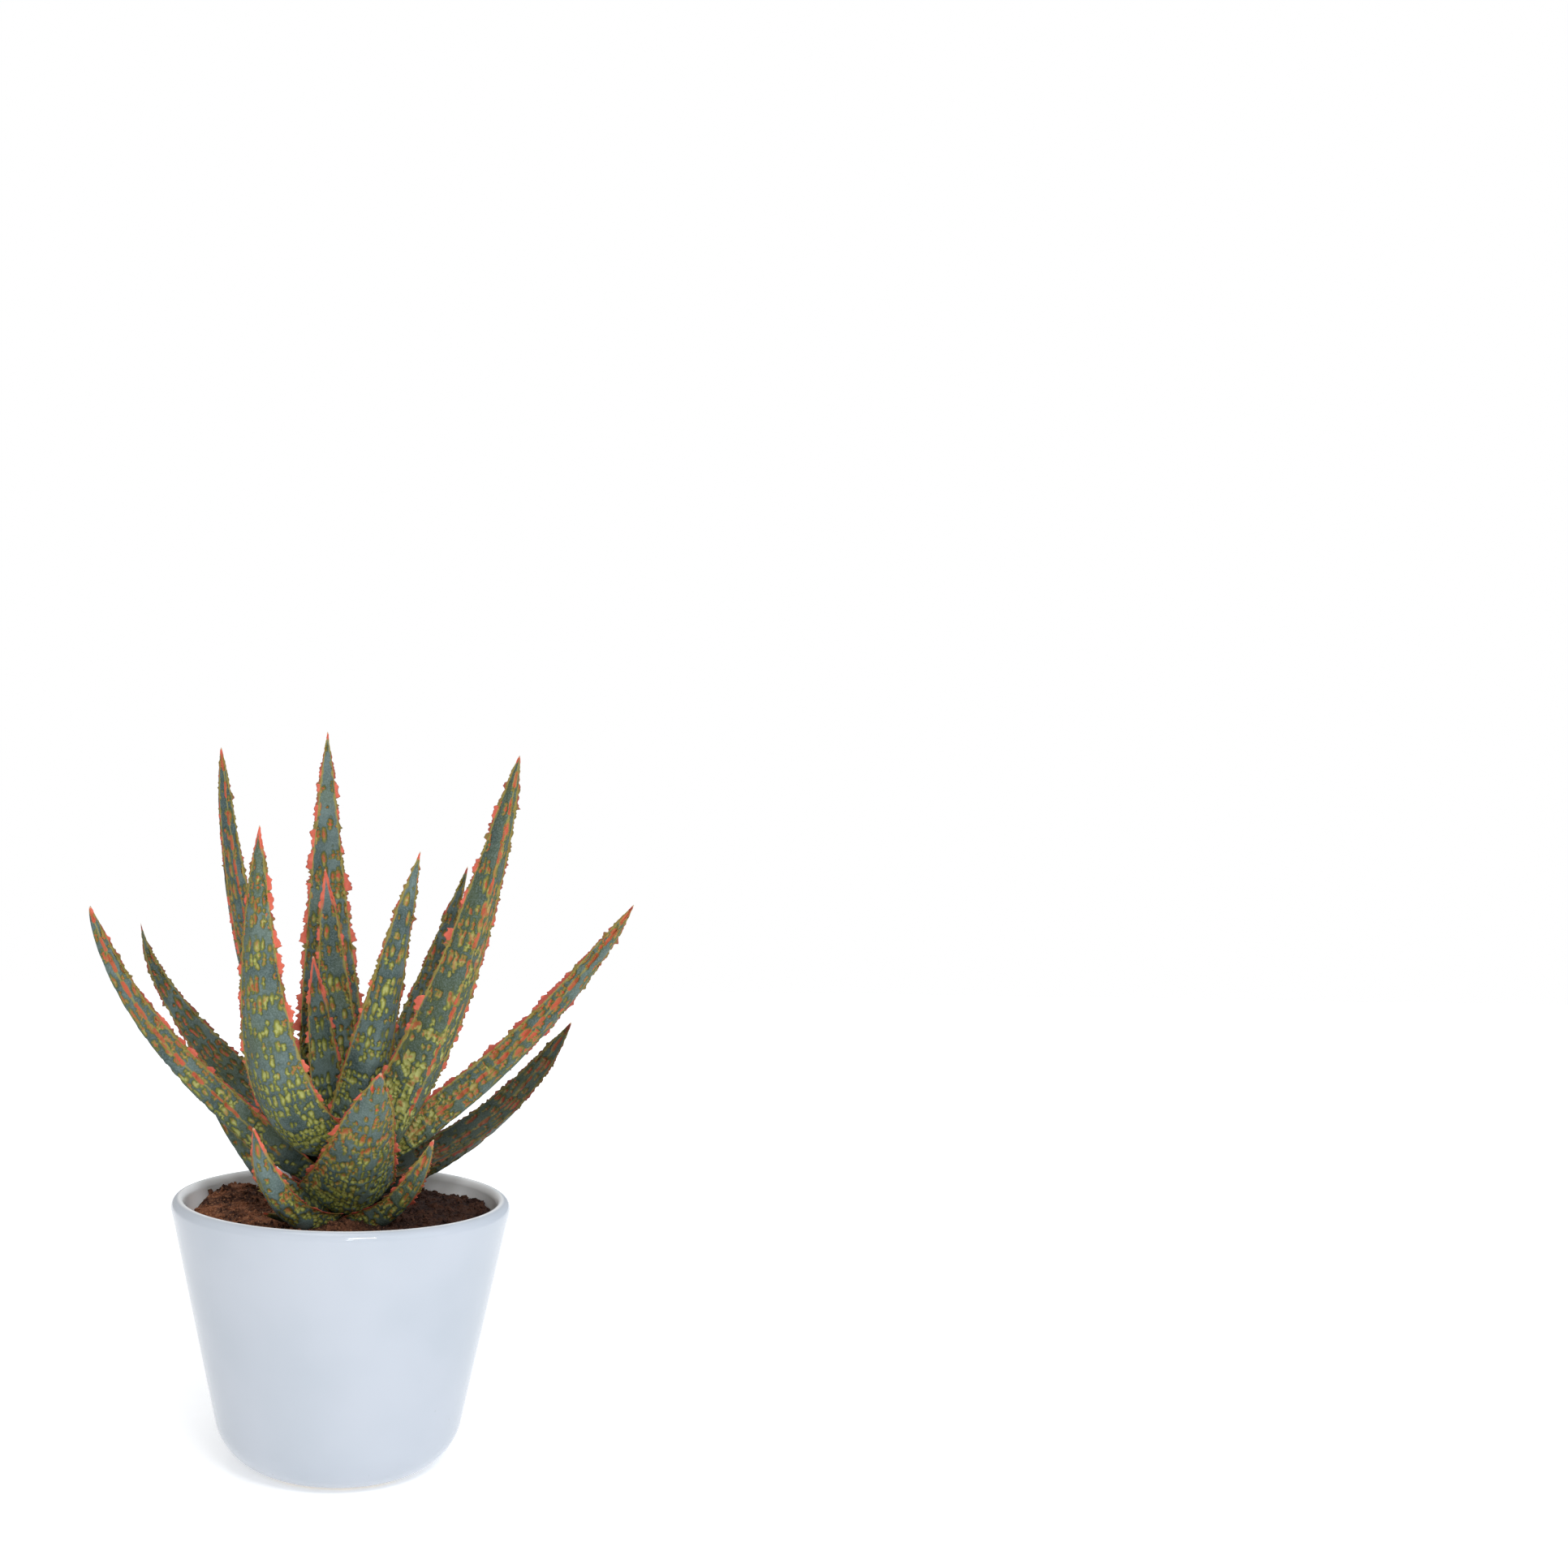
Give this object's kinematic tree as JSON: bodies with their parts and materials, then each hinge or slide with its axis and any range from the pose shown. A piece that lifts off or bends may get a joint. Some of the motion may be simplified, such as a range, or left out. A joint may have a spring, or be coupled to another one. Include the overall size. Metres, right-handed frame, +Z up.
{
  "type": "potted aloe",
  "caption": "Upright aloe rosette with rough spotted leaves and coral toothed edges, planted in soil in a plain white tapered glazed pot; stands on its flat foot.",
  "frame": {"origin": "middle of the pot's flat foot, on the surface that the pot stands on", "axes": "+Z up along the pot's axis, +X to the right seen from the front of the rosette, +Y away from the viewer"},
  "size_m": [0.198, 0.143, 0.284],
  "materials": {
    "pot_glaze": "gloss",
    "soil": "matte",
    "stem": "matte",
    "leaf": "satin"
  },
  "bodies": {
    "root": {"pot": "pot_glaze", "soil": "soil", "stem": "stem", "leaf_heart": "leaf", "leaf_inner_back": "leaf", "leaf_right_front": "leaf", "leaf_left_front": "leaf", "leaf_tall_centre": "leaf", "leaf_right_back": "leaf", "leaf_tall_right": "leaf", "leaf_tall_left": "leaf", "leaf_left_back": "leaf", "leaf_far_right": "leaf", "leaf_short_front": "leaf", "leaf_far_left": "leaf", "leaf_low_right": "leaf", "leaf_short_front_right": "leaf", "leaf_short_front_left": "leaf", "leaf_small_left": "leaf", "leaf_low_back_left": "leaf", "leaf_low_back_right": "leaf", "leaf_basal_sprig": "leaf"}
  },
  "joints": []
}
